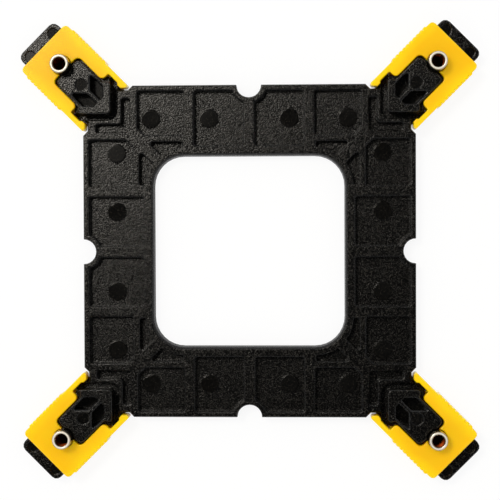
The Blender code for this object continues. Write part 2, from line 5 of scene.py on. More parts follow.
import bmesh
import bpy
from bpy.props import FloatProperty, FloatVectorProperty, IntProperty, PointerProperty
from bpy.types import Operator, Panel, PropertyGroup
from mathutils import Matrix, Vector


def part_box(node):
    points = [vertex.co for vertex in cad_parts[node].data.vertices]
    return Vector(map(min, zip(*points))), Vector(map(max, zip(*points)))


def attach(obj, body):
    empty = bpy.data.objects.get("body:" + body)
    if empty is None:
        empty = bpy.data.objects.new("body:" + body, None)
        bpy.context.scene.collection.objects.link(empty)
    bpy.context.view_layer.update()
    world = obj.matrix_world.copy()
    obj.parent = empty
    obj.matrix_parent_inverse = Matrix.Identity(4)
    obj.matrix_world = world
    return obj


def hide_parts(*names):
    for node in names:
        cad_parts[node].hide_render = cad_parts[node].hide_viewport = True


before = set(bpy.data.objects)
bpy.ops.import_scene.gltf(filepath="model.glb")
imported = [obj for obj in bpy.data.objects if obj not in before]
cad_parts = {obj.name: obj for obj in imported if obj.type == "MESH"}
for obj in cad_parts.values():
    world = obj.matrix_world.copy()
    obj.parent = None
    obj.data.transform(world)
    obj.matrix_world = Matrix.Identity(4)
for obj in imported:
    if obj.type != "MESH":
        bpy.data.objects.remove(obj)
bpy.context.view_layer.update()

bl_info = {
    "name": "Cooler back plate looks",
    "version": (1, 0, 0),
    "blender": (4, 5, 0),
    "location": "3D View > Sidebar > Back plate",
    "description": "Finishes, threaded inserts and studio for a moulded cooler back plate",
    "category": "Object",
}

MM = 0.001
CORNERS = ("back_right", "back_left", "front_left", "front_right")

# A property that is a share, and one that is a pair of them.
SHARE = {"subtype": "FACTOR", "min": 0, "max": 1}
PAIR = {"size": 2, "min": 0, "max": 1}
# The colour sockets of a Mix node, by number because its other sockets have the same names.
FIRST_COLOUR, SECOND_COLOUR, MIXED_COLOUR = 6, 7, 2
# Least Z of a level face's normal, and most Z of an upright one's.
LEVEL = 0.99
UPRIGHT = 0.7
# Points closer than this are merged.
WELD = 0.001 * MM
# A point closer than this to a level lies in it.
NEAR = 0.01 * MM
# Faces that meet at less than this angle are shaded as one surface.
SMOOTH = math.radians(35)


def linear(code):
    """The linear colour of an sRGB hex code such as "#1A1A18"."""
    parts = [int(code[place:place + 2], 16) / 255 for place in (1, 3, 5)]
    return [part / 12.92 if part <= 0.04045 else ((part + 0.055) / 1.055) ** 2.4 for part in parts]


WHITE = (*linear("#FFFFFF"), 1)


def add_node(tree, kind, settings=None, links=None, **inputs):
    """Add a node with its settings, its links from other sockets and its input values."""
    node = tree.nodes.new(kind)
    for name, value in (settings or {}).items():
        setattr(node, name, value)
    for name, value in inputs.items():
        node.inputs[name.replace("_", " ")].default_value = value
    for name, socket in (links or {}).items():
        tree.links.new(socket, node.inputs[name])
    return node


def new_material(name):
    """An empty node material, its tree and its output."""
    material = bpy.data.materials.new(name)
    material.use_nodes = True
    tree = material.node_tree
    tree.nodes.clear()
    output = tree.nodes.new("ShaderNodeOutputMaterial")
    return material, tree, output


def deselect_all():
    """Leave nothing selected, so that an operator acts only on what comes next."""
    if bpy.context.object and bpy.context.object.mode != "OBJECT":
        bpy.ops.object.mode_set(mode="OBJECT")
    bpy.ops.object.select_all(action="DESELECT")


class NylonLook(PropertyGroup):
    """Black glass-filled nylon, moulded in a spark-eroded tool."""

    colour: FloatVectorProperty(
        name="Colour", description="Body colour of the nylon", subtype="COLOR", default=linear("#030303"),
    )
    fleck: FloatVectorProperty(
        name="Fleck", description="Colour of the glass that shows at the skin", subtype="COLOR",
        default=linear("#28251F"),
    )
    smoothest: FloatProperty(
        name="Smoothest", description="Roughness at the bottom of the pits", default=0.155, **SHARE,
    )
    roughest: FloatProperty(
        name="Roughest", description="Roughness on the crests between the pits", default=0.315, **SHARE,
    )
    pit_range: FloatVectorProperty(
        name="Pit range", description="Noise values at a pit's bottom and on a crest", default=(0.38, 0.62),
        **PAIR,
    )
    fleck_range: FloatVectorProperty(
        name="Fleck range", description="Noise values between which a fleck comes in", default=(0.54, 0.7),
        **PAIR,
    )
    grain: FloatProperty(
        name="Grain", description="Width of a pit of the spark-eroded texture", unit="LENGTH",
        default=0.25 * MM,
    )
    depth: FloatProperty(
        name="Depth", description="Depth of the texture", unit="LENGTH", default=0.08 * MM,
    )
    skin_depth: FloatProperty(
        name="Skin depth", description="Share of the texture's depth on the skin", default=0.9, **SHARE,
    )
    mark_depth: FloatProperty(
        name="Mark depth", description="Share of the texture's depth on the marks", default=0.12, **SHARE,
    )
    edge: FloatProperty(
        name="Edge", description="Radius that moulding leaves on each edge", unit="LENGTH",
        default=0.28 * MM,
    )
    brightest_mark: FloatProperty(
        name="Brightest mark", description="Roughness of the pin marks that were polished most",
        default=0.14, **SHARE,
    )
    dullest_mark: FloatProperty(
        name="Dullest mark", description="Roughness of the pin marks that were worn most",
        default=0.22, **SHARE,
    )
    wear: FloatProperty(
        name="Wear", description="Distance over which the wear of the marks changes", unit="LENGTH",
        default=10.53 * MM,
    )
    wear_range: FloatVectorProperty(
        name="Wear range", description="Noise values at the brightest and the dullest marks",
        default=(0.35, 0.65), **PAIR,
    )
    mark_slack: FloatProperty(
        name="Mark slack", description="How far from a mark's height its face may lie", unit="LENGTH",
        default=0.03 * MM,
    )
    window: FloatProperty(
        name="Window", description="How far from the middle an upright wall can be and be the window's",
        unit="LENGTH", default=20.0 * MM,
    )
    skin_shine: FloatProperty(
        name="Skin shine", description="Specular level of the skin", default=0.5, **SHARE,
    )
    window_shine: FloatProperty(
        name="Window shine", description="Specular level of the window's wall", default=0.02, **SHARE,
    )
    pocket_pin: FloatProperty(
        name="Pocket pin", description="Height of the ejector pins' marks in the pockets", unit="LENGTH",
        default=1.98 * MM,
    )
    boss_pin: FloatProperty(
        name="Boss pin", description="Height of the marks on the bosses", unit="LENGTH",
        default=5.05 * MM,
    )
    boss_floor: FloatProperty(
        name="Boss floor", description="Height of the floors of the bosses' pockets, as smooth as a mark",
        unit="LENGTH", default=2.4 * MM,
    )
    end_pin: FloatProperty(
        name="End pin", description="Height of the marks at the arms' ends", unit="LENGTH",
        default=3.25 * MM,
    )


class AcetalLook(PropertyGroup):
    """Yellow acetal of the clips."""

    # Painted shade: the acetal's yellow, made deeper than its own colour where the thin roof lies over the
    # black arm, which swallows the light passing through.
    colour: FloatVectorProperty(
        name="Colour", description="Body colour of the acetal over the black arm", subtype="COLOR",
        default=linear("#FBC100"),
    )
    # Painted light: the side walls are made lighter for the light that passes through them.
    lit_side_colour: FloatVectorProperty(
        name="Side colour", description="Colour of its side walls, which light passes through",
        subtype="COLOR", default=linear("#FCD206"),
    )
    # The painted shade fills this half width along the middle and gives way to the painted light by the next
    # one.
    shaded_half: FloatProperty(
        name="Deep half", description="Half width of the deeper colour along the middle of a clip",
        unit="LENGTH", default=4.2 * MM,
    )
    lit_side_half: FloatProperty(
        name="Side half", description="Half width at which the side colour is full", unit="LENGTH",
        default=6.4 * MM,
    )
    drift: FloatProperty(
        name="Drift", description="Distance over which the tone drifts", unit="LENGTH", default=7.14 * MM,
    )
    drift_range: FloatVectorProperty(
        name="Drift range", description="Noise values at the deepest and the lightest tone",
        default=(0.3, 0.7), **PAIR,
    )
    deeper: FloatProperty(
        name="Deeper", description="How far the tone can drift to the body colour", default=0.25, **SHARE,
    )
    lighter: FloatProperty(
        name="Lighter", description="How far the tone can drift to the side colour", default=0.35, **SHARE,
    )
    roughness: FloatProperty(
        name="Roughness", description="Roughness of the skin", default=0.22, **SHARE,
    )
    grain: FloatProperty(
        name="Grain", description="Width of a dimple in the skin", unit="LENGTH", default=0.4 * MM,
    )
    dimple: FloatProperty(
        name="Dimple", description="Depth of a dimple", unit="LENGTH", default=0.01 * MM,
    )
    skin_depth: FloatProperty(
        name="Skin depth", description="Share of a dimple's depth that shows", default=0.25, **SHARE,
    )
    soak: FloatProperty(
        name="Soak", description="Share of the light that soaks in", default=0.5, **SHARE,
    )
    depth: FloatProperty(
        name="Depth", description="How far light travels inside it", unit="LENGTH", default=1.0 * MM,
    )
    reach: FloatVectorProperty(
        name="Reach", description="Share of the light's travel for red, green and blue",
        default=(1.0, 0.55, 0.08),
    )
    edge: FloatProperty(
        name="Edge", description="Radius that moulding leaves on each edge", unit="LENGTH",
        default=0.18 * MM,
    )


class InsertSizes(PropertyGroup):
    """Turned and nickel-plated threaded insert."""

    colour: FloatVectorProperty(
        name="Colour", description="Colour of the nickel plate", subtype="COLOR",
        default=linear("#B8AC98"),
    )
    # Painted highlight: the faced end is the same nickel, given this near-white colour so that it looks
    # bright whatever it mirrors; its greater roughness stands for the real facing marks.
    faced_highlight_colour: FloatVectorProperty(
        name="Faced colour", description="Colour of the faced end, whose marks catch the light",
        subtype="COLOR", default=linear("#FFF6E6"),
    )
    # Partly painted shade: brass, made darker and redder than bare brass to stand for the shade deep in the
    # bore.
    shaded_thread_colour: FloatVectorProperty(
        name="Thread colour", description="Colour of the brass in the tapped bore", subtype="COLOR",
        default=linear("#A84A1E"),
    )
    roughness: FloatProperty(
        name="Roughness", description="Roughness of the plated side", default=0.18, **SHARE,
    )
    faced_roughness: FloatProperty(
        name="Faced roughness", description="Roughness of the faced end", default=0.4, **SHARE,
    )
    # Painted highlight too: less metal lets the near-white colour show as a bright diffuse ring.
    faced_metal: FloatProperty(
        name="Faced metal", description="Metallic share of the faced end", default=0.4, **SHARE,
    )
    faced_range: FloatVectorProperty(
        name="Faced range", description="Z of the normal between the plated side and the faced end",
        default=(0.85, 0.97), **PAIR,
    )
    thread_roughness: FloatProperty(
        name="Thread roughness", description="Roughness of the tapped bore", default=0.5, **SHARE,
    )
    radius: FloatProperty(
        name="Radius", description="Outside of the shank", unit="LENGTH", default=1.88 * MM,
    )
    bore: FloatProperty(
        name="Bore", description="Radius inside the thread's crests", unit="LENGTH", default=1.25 * MM,
    )
    rim: FloatProperty(
        name="Rim", description="Rounding of the mouth's rim", unit="LENGTH", default=0.24 * MM,
    )
    pitch: FloatProperty(
        name="Pitch", description="Pitch of the thread", unit="LENGTH", default=0.5 * MM,
    )
    thread: FloatProperty(
        name="Thread", description="Depth of the thread", unit="LENGTH", default=0.27 * MM,
    )
    ridge: FloatProperty(
        name="Ridge", description="Share of the pitch that the ridge is wide", default=0.94, **SHARE,
    )
    lip: FloatProperty(
        name="Lip", description="Plain bore above the thread", unit="LENGTH", default=0.45 * MM,
    )
    foot: FloatProperty(
        name="Foot", description="Thickness of the bore's closed foot", unit="LENGTH", default=0.5 * MM,
    )
    foot_rise: FloatProperty(
        name="Foot rise", description="Gap under the foot", unit="LENGTH", default=0.05 * MM,
    )
    foot_lap: FloatProperty(
        name="Foot lap", description="How far the foot is sunk in the bore's wall", unit="LENGTH",
        default=0.05 * MM,
    )
    cone: FloatProperty(
        name="Cone", description="Depth of the drill's cone in the foot", unit="LENGTH",
        default=0.3 * MM,
    )
    flats: FloatProperty(
        name="Flats", description="Head across its flats", unit="LENGTH", default=5.0 * MM,
    )
    head: FloatProperty(
        name="Head", description="Height of the head", unit="LENGTH", default=0.85 * MM,
    )
    head_edge: FloatProperty(
        name="Head edge", description="Breaking of the head's edges", unit="LENGTH", default=0.12 * MM,
    )
    head_turn: FloatProperty(
        name="Head turn", description="Turn that sets the head's flats along the arm", unit="ROTATION",
        default=math.radians(15),
    )
    sides: IntProperty(name="Sides", description="Sides of the round shank", default=64, min=24)
    steps: IntProperty(name="Steps", description="Steps in one turn of the thread", default=40, min=12)


class StudioSetup(PropertyGroup):
    """Camera, key lamp, even light and floor."""

    height: FloatProperty(
        name="Height", description="Camera above the plate's back", unit="LENGTH", default=285 * MM,
    )
    right: FloatProperty(
        name="Right", description="Camera to the right of the middle", unit="LENGTH", default=12.07 * MM,
    )
    back: FloatProperty(
        name="Back", description="Camera behind the middle", unit="LENGTH", default=5.79 * MM,
    )
    pitch: FloatProperty(
        name="Pitch", description="Camera's turn about X", unit="ROTATION", default=math.radians(-1.13),
    )
    roll: FloatProperty(
        name="Roll", description="Camera's turn about Y", unit="ROTATION", default=math.radians(2.414),
    )
    turn: FloatProperty(
        name="Turn", description="Camera's turn about Z", unit="ROTATION", default=math.radians(-0.21),
    )
    view_angle: FloatProperty(
        name="View angle", description="Angle that the camera takes in", unit="ROTATION",
        default=math.radians(20.21),
    )
    key_place: FloatVectorProperty(
        name="Key place", description="Place of the key lamp, at the upper left", subtype="TRANSLATION",
        default=(-330 * MM, 310 * MM, 800 * MM),
    )
    key_power: FloatProperty(
        name="Key power", description="Power of the key lamp, in watts", unit="POWER", default=3.2,
    )
    key_colour: FloatVectorProperty(
        name="Key colour", description="Colour of the key lamp's light", subtype="COLOR",
        default=linear("#FFF8EC"),
    )
    key_size: FloatProperty(
        name="Key size", description="Side of the key lamp", unit="LENGTH", default=200 * MM,
    )
    fill: FloatProperty(name="Fill", description="Strength of the even light from all round", default=0.85)
    wall_top: FloatProperty(
        name="Wall top", description="Height on the unit sphere where the walls begin to fade", default=0.25,
    )
    ceiling: FloatProperty(
        name="Ceiling", description="Height on the unit sphere where the ceiling is darkest", default=0.5,
    )
    dark: FloatProperty(
        name="Dark", description="Brightness of the ceiling where it is darkest", default=0.01,
    )
    card_colour: FloatVectorProperty(
        name="Card colour", description="Colour of the floor's white card", subtype="COLOR",
        default=linear("#F3F3F3"),
    )
    floor_glow: FloatProperty(
        name="Floor glow", description="Share of plain white in the floor; the rest takes the shadow",
        default=0.88, **SHARE,
    )
    floor_range: FloatVectorProperty(
        name="Floor range", description="Shares of open sky where the floor is dark and where it is lit",
        default=(0.1, 0.28), **PAIR,
    )
    floor_reach: FloatProperty(
        name="Floor reach", description="Distance within which the plate can close the floor in",
        unit="LENGTH", default=4 * MM,
    )
    floor_drop: FloatProperty(
        name="Floor drop", description="Gap between the plate and the floor", unit="LENGTH",
        default=0.02 * MM,
    )


def pin_marks(tree, place, heights, slack):
    """Mask of the ejector pins' marks: level faces at one of the given heights."""
    split = add_node(tree, "ShaderNodeSeparateXYZ", links={0: place.outputs["Object"]})
    facing = add_node(tree, "ShaderNodeSeparateXYZ", links={0: place.outputs["Normal"]})
    mask = None
    for height in heights:
        level = add_node(
            tree, "ShaderNodeMath", settings={"operation": "COMPARE"}, links={0: split.outputs["Z"]},
        )
        level.inputs[1].default_value = height
        level.inputs[2].default_value = slack
        if mask:
            level = add_node(
                tree, "ShaderNodeMath", settings={"operation": "MAXIMUM"},
                links={0: mask.outputs[0], 1: level.outputs[0]},
            )
        mask = level
    return add_node(
        tree, "ShaderNodeMath", settings={"operation": "MULTIPLY"},
        links={0: mask.outputs[0], 1: facing.outputs["Z"]},
    )


def window_wall(tree, place, reach):
    """Mask of the window's walls: upright faces within reach of the middle along X and along Y."""
    split = add_node(tree, "ShaderNodeSeparateXYZ", links={0: place.outputs["Object"]})
    facing = add_node(tree, "ShaderNodeSeparateXYZ", links={0: place.outputs["Normal"]})
    sizes = [
        add_node(tree, "ShaderNodeMath", settings={"operation": "ABSOLUTE"}, links={0: socket})
        for socket in (split.outputs["X"], split.outputs["Y"], facing.outputs["Z"])
    ]
    furthest = add_node(
        tree, "ShaderNodeMath", settings={"operation": "MAXIMUM"},
        links={0: sizes[0].outputs[0], 1: sizes[1].outputs[0]},
    )
    inside = add_node(
        tree, "ShaderNodeMath", settings={"operation": "LESS_THAN"}, links={0: furthest.outputs[0]},
    )
    inside.inputs[1].default_value = reach
    upright = add_node(
        tree, "ShaderNodeMath", settings={"operation": "LESS_THAN"}, links={0: sizes[2].outputs[0]},
    )
    upright.inputs[1].default_value = UPRIGHT
    return add_node(
        tree, "ShaderNodeMath", settings={"operation": "MULTIPLY"},
        links={0: inside.outputs[0], 1: upright.outputs[0]},
    )


def black_nylon():
    """Glass-filled nylon 66, injection moulded: near black, with a dull sheen and pale flecks.

    The pits of the real texture are about a tenth of a millimetre wide. They are drawn coarser here,
    because they would vanish in a picture of the whole plate. The pin marks are smoother than the rest,
    some more than others, and the window's wall hardly shines.
    """
    look = bpy.context.scene.nylon_look
    material, tree, output = new_material("black_glass_filled_nylon")
    place = add_node(tree, "ShaderNodeTexCoord")
    heights = (look.pocket_pin, look.boss_pin, look.boss_floor, look.end_pin)
    marks = pin_marks(tree, place, heights, look.mark_slack)
    edge = add_node(tree, "ShaderNodeBevel", settings={"samples": 6}, Radius=look.edge)
    pits = add_node(
        tree, "ShaderNodeTexNoise", links={"Vector": place.outputs["Object"]},
        Scale=1 / look.grain, Detail=2,
    )
    strength = add_node(
        tree, "ShaderNodeMapRange", links={"Value": marks.outputs[0]},
        To_Min=look.skin_depth, To_Max=look.mark_depth,
    )
    bump = add_node(
        tree, "ShaderNodeBump",
        links={
            "Height": pits.outputs["Fac"], "Normal": edge.outputs["Normal"],
            "Strength": strength.outputs["Result"],
        },
        Distance=look.depth,
    )
    fleck = add_node(
        tree, "ShaderNodeMapRange", links={"Value": pits.outputs["Fac"]},
        From_Min=look.fleck_range[0], From_Max=look.fleck_range[1],
    )
    colour = add_node(
        tree, "ShaderNodeMix", settings={"data_type": "RGBA"}, links={"Factor": fleck.outputs["Result"]},
    )
    colour.inputs[FIRST_COLOUR].default_value = (*look.colour, 1)
    colour.inputs[SECOND_COLOUR].default_value = (*look.fleck, 1)
    skin = add_node(
        tree, "ShaderNodeMapRange", links={"Value": pits.outputs["Fac"]},
        From_Min=look.pit_range[0], From_Max=look.pit_range[1],
        To_Min=look.smoothest, To_Max=look.roughest,
    )
    wear = add_node(
        tree, "ShaderNodeTexNoise", links={"Vector": place.outputs["Object"]},
        Scale=1 / look.wear, Detail=1,
    )
    polish = add_node(
        tree, "ShaderNodeMapRange", links={"Value": wear.outputs["Fac"]},
        From_Min=look.wear_range[0], From_Max=look.wear_range[1],
        To_Min=look.brightest_mark, To_Max=look.dullest_mark,
    )
    roughness = add_node(
        tree, "ShaderNodeMapRange",
        links={
            "Value": marks.outputs[0],
            "To Min": skin.outputs["Result"], "To Max": polish.outputs["Result"],
        },
    )
    wall = window_wall(tree, place, look.window)
    shine = add_node(
        tree, "ShaderNodeMapRange", links={"Value": wall.outputs[0]},
        To_Min=look.skin_shine, To_Max=look.window_shine,
    )
    shader = add_node(
        tree, "ShaderNodeBsdfPrincipled",
        links={
            "Base Color": colour.outputs[MIXED_COLOUR], "Normal": bump.outputs["Normal"],
            "Roughness": roughness.outputs["Result"], "Specular IOR Level": shine.outputs["Result"],
        },
        IOR=1.53,
    )
    tree.links.new(shader.outputs["BSDF"], output.inputs["Surface"])
    return material


def across_arm(tree, place):
    """Distance from the middle line of the nearest diagonal arm."""
    split = add_node(tree, "ShaderNodeSeparateXYZ", links={0: place.outputs["Object"]})
    sizes = [
        add_node(tree, "ShaderNodeMath", settings={"operation": "ABSOLUTE"}, links={0: socket})
        for socket in (split.outputs["X"], split.outputs["Y"])
    ]
    apart = add_node(
        tree, "ShaderNodeMath", settings={"operation": "SUBTRACT"},
        links={0: sizes[0].outputs[0], 1: sizes[1].outputs[0]},
    )
    apart = add_node(
        tree, "ShaderNodeMath", settings={"operation": "ABSOLUTE"}, links={0: apart.outputs[0]},
    )
    width = add_node(
        tree, "ShaderNodeMath", settings={"operation": "DIVIDE"}, links={0: apart.outputs[0]},
    )
    width.inputs[1].default_value = math.sqrt(2)
    return width


def yellow_acetal():
    """Acetal, injection moulded: satin skin over a body that light soaks into.

    Along the middle of a clip, where the thin roof lies over the black arm, its yellow is painted deeper as
    shade, and on the side walls it is painted lighter, for the light that the arm swallows and that the
    walls let through. The tone also drifts a little from place to place.
    """
    look = bpy.context.scene.acetal_look
    material, tree, output = new_material("yellow_acetal")
    place = add_node(tree, "ShaderNodeTexCoord")
    edge = add_node(tree, "ShaderNodeBevel", settings={"samples": 6}, Radius=look.edge)
    grain = add_node(
        tree, "ShaderNodeTexNoise", links={"Vector": place.outputs["Object"]},
        Scale=1 / look.grain, Detail=2,
    )
    bump = add_node(
        tree, "ShaderNodeBump", links={"Height": grain.outputs["Fac"], "Normal": edge.outputs["Normal"]},
        Strength=look.skin_depth, Distance=look.dimple,
    )
    width = across_arm(tree, place)
    # Share of painted light across the clip: none along its middle, which is painted deeper as shade, and
    # full on the side walls.
    side = add_node(
        tree, "ShaderNodeMapRange", links={"Value": width.outputs[0]},
        From_Min=look.shaded_half, From_Max=look.lit_side_half,
    )
    drift = add_node(
        tree, "ShaderNodeTexNoise", links={"Vector": place.outputs["Object"]},
        Scale=1 / look.drift, Detail=1,
    )
    drift = add_node(
        tree, "ShaderNodeMapRange", links={"Value": drift.outputs["Fac"]},
        From_Min=look.drift_range[0], From_Max=look.drift_range[1],
        To_Min=-look.deeper, To_Max=look.lighter,
    )
    # Painted shade and light across the clip, with the tone's random drift added.
    tone = add_node(
        tree, "ShaderNodeMath", settings={"operation": "ADD", "use_clamp": True},
        links={0: side.outputs["Result"], 1: drift.outputs["Result"]},
    )
    colour = add_node(
        tree, "ShaderNodeMix", settings={"data_type": "RGBA"}, links={"Factor": tone.outputs[0]},
    )
    colour.inputs[FIRST_COLOUR].default_value = (*look.colour, 1)
    colour.inputs[SECOND_COLOUR].default_value = (*look.lit_side_colour, 1)
    shader = add_node(
        tree, "ShaderNodeBsdfPrincipled",
        links={"Base Color": colour.outputs[MIXED_COLOUR], "Normal": bump.outputs["Normal"]},
        Roughness=look.roughness, IOR=1.48,
        Subsurface_Weight=look.soak, Subsurface_Scale=look.depth, Subsurface_Radius=look.reach,
    )
    tree.links.new(shader.outputs["BSDF"], output.inputs["Surface"])
    return material


def nickel_plate():
    """Nickel on turned brass: a bright side, and a faced end whose fine marks scatter the light; the faced
    end's near-white colour and lower metallic share are a painted highlight.
    """
    look = bpy.context.scene.insert_sizes
    material, tree, output = new_material("nickel_plate")
    place = add_node(tree, "ShaderNodeTexCoord")
    facing = add_node(tree, "ShaderNodeSeparateXYZ", links={0: place.outputs["Normal"]})
    # Mask of the level faces of the faced end, which carry its real roughness and its painted highlight.
    faced = add_node(
        tree, "ShaderNodeMapRange", links={"Value": facing.outputs["Z"]},
        From_Min=look.faced_range[0], From_Max=look.faced_range[1],
    )
    metal = add_node(
        tree, "ShaderNodeMapRange", links={"Value": faced.outputs["Result"]},
        To_Min=1.0, To_Max=look.faced_metal,
    )
    roughness = add_node(
        tree, "ShaderNodeMapRange", links={"Value": faced.outputs["Result"]},
        To_Min=look.roughness, To_Max=look.faced_roughness,
    )
    colour = add_node(
        tree, "ShaderNodeMix", settings={"data_type": "RGBA"}, links={"Factor": faced.outputs["Result"]},
    )
    colour.inputs[FIRST_COLOUR].default_value = (*look.colour, 1)
    colour.inputs[SECOND_COLOUR].default_value = (*look.faced_highlight_colour, 1)
    shader = add_node(
        tree, "ShaderNodeBsdfPrincipled",
        links={
            "Base Color": colour.outputs[MIXED_COLOUR], "Metallic": metal.outputs["Result"],
            "Roughness": roughness.outputs["Result"],
        },
    )
    tree.links.new(shader.outputs["BSDF"], output.inputs["Surface"])
    return material


def shaded_tapped_brass():
    """Brass in the tapped bore and its foot, where the plating is thin and the cut is duller; painted darker
    and redder than bare brass, as painted shade of the deep bore.
    """
    look = bpy.context.scene.insert_sizes
    material, tree, output = new_material("shaded_tapped_brass")
    shader = add_node(
        tree, "ShaderNodeBsdfPrincipled",
        Base_Color=(*look.shaded_thread_colour, 1), Metallic=1.0, Roughness=look.thread_roughness,
    )
    tree.links.new(shader.outputs["BSDF"], output.inputs["Surface"])
    return material


def dress(node_name, material):
    """Give a CAD node its finish."""
    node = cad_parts[node_name]
    if not node.material_slots:
        node.data.materials.append(material)
    for place in node.material_slots:
        place.material = material


def select_parts(thing, mode, test):
    """In edit mode, select just the faces or edges that pass the test."""
    bpy.ops.mesh.select_mode(type=mode)
    bpy.ops.mesh.select_all(action="DESELECT")
    mesh = bmesh.from_edit_mesh(thing.data)
    for part in mesh.faces if mode == "FACE" else mesh.edges:
        if test(part):
            part.select_set(True)
    mesh.select_flush_mode()
    bmesh.update_edit_mesh(thing.data)


def mesh_extrude(down, times=None, centre=None):
    """Extrude the selection downwards, and make it so many times as wide about the centre."""
    bpy.ops.mesh.extrude_region_move(TRANSFORM_OT_translate={"value": (0, 0, -down)})
    if times:
        bpy.ops.transform.resize(value=(times, times, 1), center_override=centre)


def turned_shank(look, axis, low, high):
    """Round shank, as turned: a rounded rim, a plain lip and a wider bore for the thread below it."""
    bpy.ops.mesh.primitive_cylinder_add(
        vertices=look.sides, radius=look.radius, depth=high - low,
        location=(axis.x, axis.y, (low + high) / 2),
    )
    shank = bpy.context.object
    top = (high - low) / 2
    relief = look.thread / 2
    bpy.ops.object.mode_set(mode="EDIT")
    select_parts(shank, "FACE", lambda face: abs(face.normal.z) > LEVEL)
    bpy.ops.mesh.inset(thickness=look.radius - look.bore, use_individual=True)
    bpy.ops.mesh.delete(type="FACE")
    select_parts(shank, "EDGE", lambda edge: edge.is_boundary and edge.verts[0].co.z > 0)
    centre = (axis.x, axis.y, high)
    mesh_extrude(look.lip)
    mesh_extrude(relief, (look.bore + look.thread) / look.bore, centre)
    mesh_extrude(high - low - look.lip - 2 * relief)
    mesh_extrude(relief, look.bore / (look.bore + look.thread), centre)
    bpy.ops.mesh.select_all(action="SELECT")
    bpy.ops.mesh.remove_doubles(threshold=WELD)
    select_parts(
        shank, "EDGE",
        lambda edge: all(abs(vertex.co.z - top) < NEAR for vertex in edge.verts)
        and len({round(vertex.co.xy.length, 5) for vertex in edge.verts}) == 1,
    )
    bpy.ops.mesh.bevel(offset=look.rim, segments=4, affect="EDGES", clamp_overlap=False)
    bpy.ops.object.mode_set(mode="OBJECT")
    return shank


def hexagon_head(look, axis, low):
    """Six-sided head under the shank, with broken edges and an open middle."""
    bpy.ops.mesh.primitive_cylinder_add(
        vertices=6, radius=look.flats / math.sqrt(3), depth=look.head,
        location=(axis.x, axis.y, low + look.head / 2), rotation=(0, 0, look.head_turn),
    )
    head = bpy.context.object
    bpy.ops.object.mode_set(mode="EDIT")
    bpy.ops.mesh.select_all(action="SELECT")
    bpy.ops.mesh.bevel(offset=look.head_edge, segments=2)
    select_parts(head, "FACE", lambda face: abs(face.normal.z) > LEVEL)
    bpy.ops.mesh.inset(thickness=look.flats / 2 - look.bore - look.thread, use_individual=True)
    bpy.ops.mesh.bridge_edge_loops()
    bpy.ops.object.mode_set(mode="OBJECT")
    return head


def thread_ridge(look, axis, low, high):
    """Ridge of the thread: an equal-sided triangle wound up the bore and sunk in its wall."""
    side = look.pitch * look.ridge
    corner = side / math.sqrt(3)
    bpy.ops.mesh.primitive_circle_add(
        vertices=3, radius=corner, fill_type="NGON", location=(axis.x + look.bore + corner, axis.y, low),
        rotation=(math.pi / 2, -math.pi / 2, 0),
    )
    ridge = bpy.context.object
    bpy.ops.object.transform_apply(location=True, rotation=True, scale=True)
    bpy.context.scene.cursor.location = (axis.x, axis.y, low)
    bpy.ops.object.origin_set(type="ORIGIN_CURSOR")
    bpy.context.scene.cursor.location = (0, 0, 0)
    wind = ridge.modifiers.new("wind", "SCREW")
    wind.axis = "Z"
    wind.steps = look.steps
    wind.render_steps = look.steps
    wind.screw_offset = look.pitch
    wind.iterations = int((high - low) / look.pitch)
    bpy.ops.object.modifier_apply(modifier=wind.name)
    bpy.ops.object.mode_set(mode="EDIT")
    bpy.ops.mesh.select_all(action="SELECT")
    bpy.ops.mesh.fill_holes(sides=3)
    bpy.ops.object.mode_set(mode="OBJECT")
    return ridge


def bore_foot(look, axis, low):
    """Closed foot of the bore, coned as the drill leaves it and sunk in the wall all round."""
    radius = look.bore + look.thread + look.foot_lap
    bpy.ops.mesh.primitive_cylinder_add(
        vertices=look.sides, radius=radius, depth=look.foot,
        location=(axis.x, axis.y, low + look.foot_rise + look.foot / 2),
    )
    foot = bpy.context.object
    bpy.ops.object.mode_set(mode="EDIT")
    select_parts(foot, "FACE", lambda face: face.normal.z > LEVEL)
    bpy.ops.mesh.inset(thickness=radius - look.bore)
    bpy.ops.mesh.merge(type="CENTER")
    bpy.ops.transform.translate(value=(0, 0, -look.cone))
    bpy.ops.object.mode_set(mode="OBJECT")
    return foot


class OBJECT_OT_backplate_finish(Operator):
    """Give the moulded plate its black nylon"""

    bl_idname = "object.backplate_finish"
    bl_label = "Finish the plate"

    def execute(self, context):
        dress("backplate", black_nylon())
        return {"FINISHED"}


class OBJECT_OT_clip_finish(Operator):
    """Give the four clips their yellow acetal"""

    bl_idname = "object.clip_finish"
    bl_label = "Finish the clips"

    def execute(self, context):
        material = yellow_acetal()
        for corner in CORNERS:
            dress(f"clip_{corner}", material)
        return {"FINISHED"}


